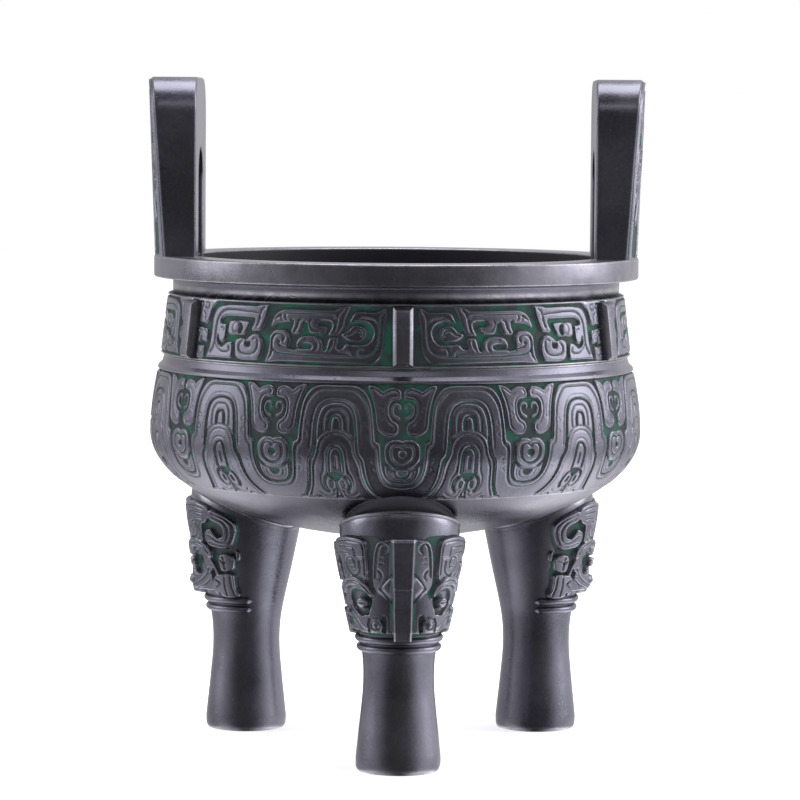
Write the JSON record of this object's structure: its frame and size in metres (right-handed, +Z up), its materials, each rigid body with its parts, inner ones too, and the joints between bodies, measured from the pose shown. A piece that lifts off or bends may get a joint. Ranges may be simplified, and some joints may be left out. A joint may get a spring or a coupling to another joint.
{
  "type": "bronze ding vessel",
  "caption": "Round bronze cauldron on three turned legs with animal masks, upright handles on a flat rim, and bands of dragons and waves round the bowl.",
  "frame": {"origin": "on the ground, under the centre of the bowl", "axes": "+Z up, one leg and one flange towards -Y, handles at +X and -X"},
  "size_m": [0.2246, 0.2238, 0.3025],
  "materials": {
    "bronze": "dark satin bronze, worn lighter on the edges, with green patina in the sunk grounds of the carving"
  },
  "bodies": {
    "root": {"ding_vessel": "bronze"}
  },
  "joints": []
}
